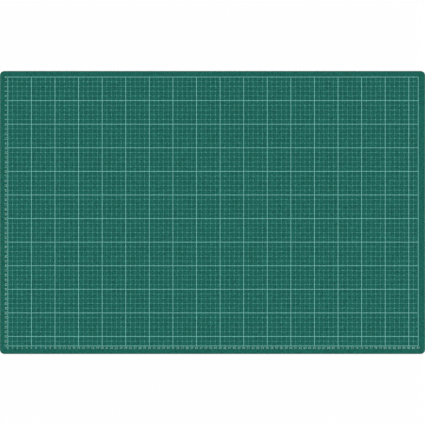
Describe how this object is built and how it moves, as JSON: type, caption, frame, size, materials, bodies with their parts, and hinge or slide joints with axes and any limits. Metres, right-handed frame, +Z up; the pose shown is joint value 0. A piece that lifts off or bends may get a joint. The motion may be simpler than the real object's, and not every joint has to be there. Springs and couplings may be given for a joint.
{
  "type": "craft cutting mat",
  "caption": "Flat rectangular self-healing cutting mat with round corners, bonded plies and a printed centimetre grid.",
  "frame": {"origin": "centre of the underside, where the mat lies on the table", "axes": "+X along the long side, +Y towards the long edge that the left-hand scale counts down from, +Z up through the plies to the printed face"},
  "size_m": [0.902, 0.6, 0.0031],
  "materials": {
    "bottom_cutting_skin": "fine matt emboss, soft PVC",
    "lower_backing_ply": "plain PVC, seen only at the cut edge",
    "rigid_core_sheet": "plain hard PVC, seen only at the cut edge",
    "upper_backing_ply": "plain PVC, seen only at the cut edge",
    "top_cutting_skin": "fine matt emboss, soft PVC",
    "printed_grid": "matt screen ink"
  },
  "bodies": {
    "root": {"bottom_cutting_skin": "bottom_cutting_skin", "lower_backing_ply": "lower_backing_ply", "rigid_core_sheet": "rigid_core_sheet", "upper_backing_ply": "upper_backing_ply", "top_cutting_skin": "top_cutting_skin", "printed_grid": "printed_grid"}
  },
  "joints": []
}
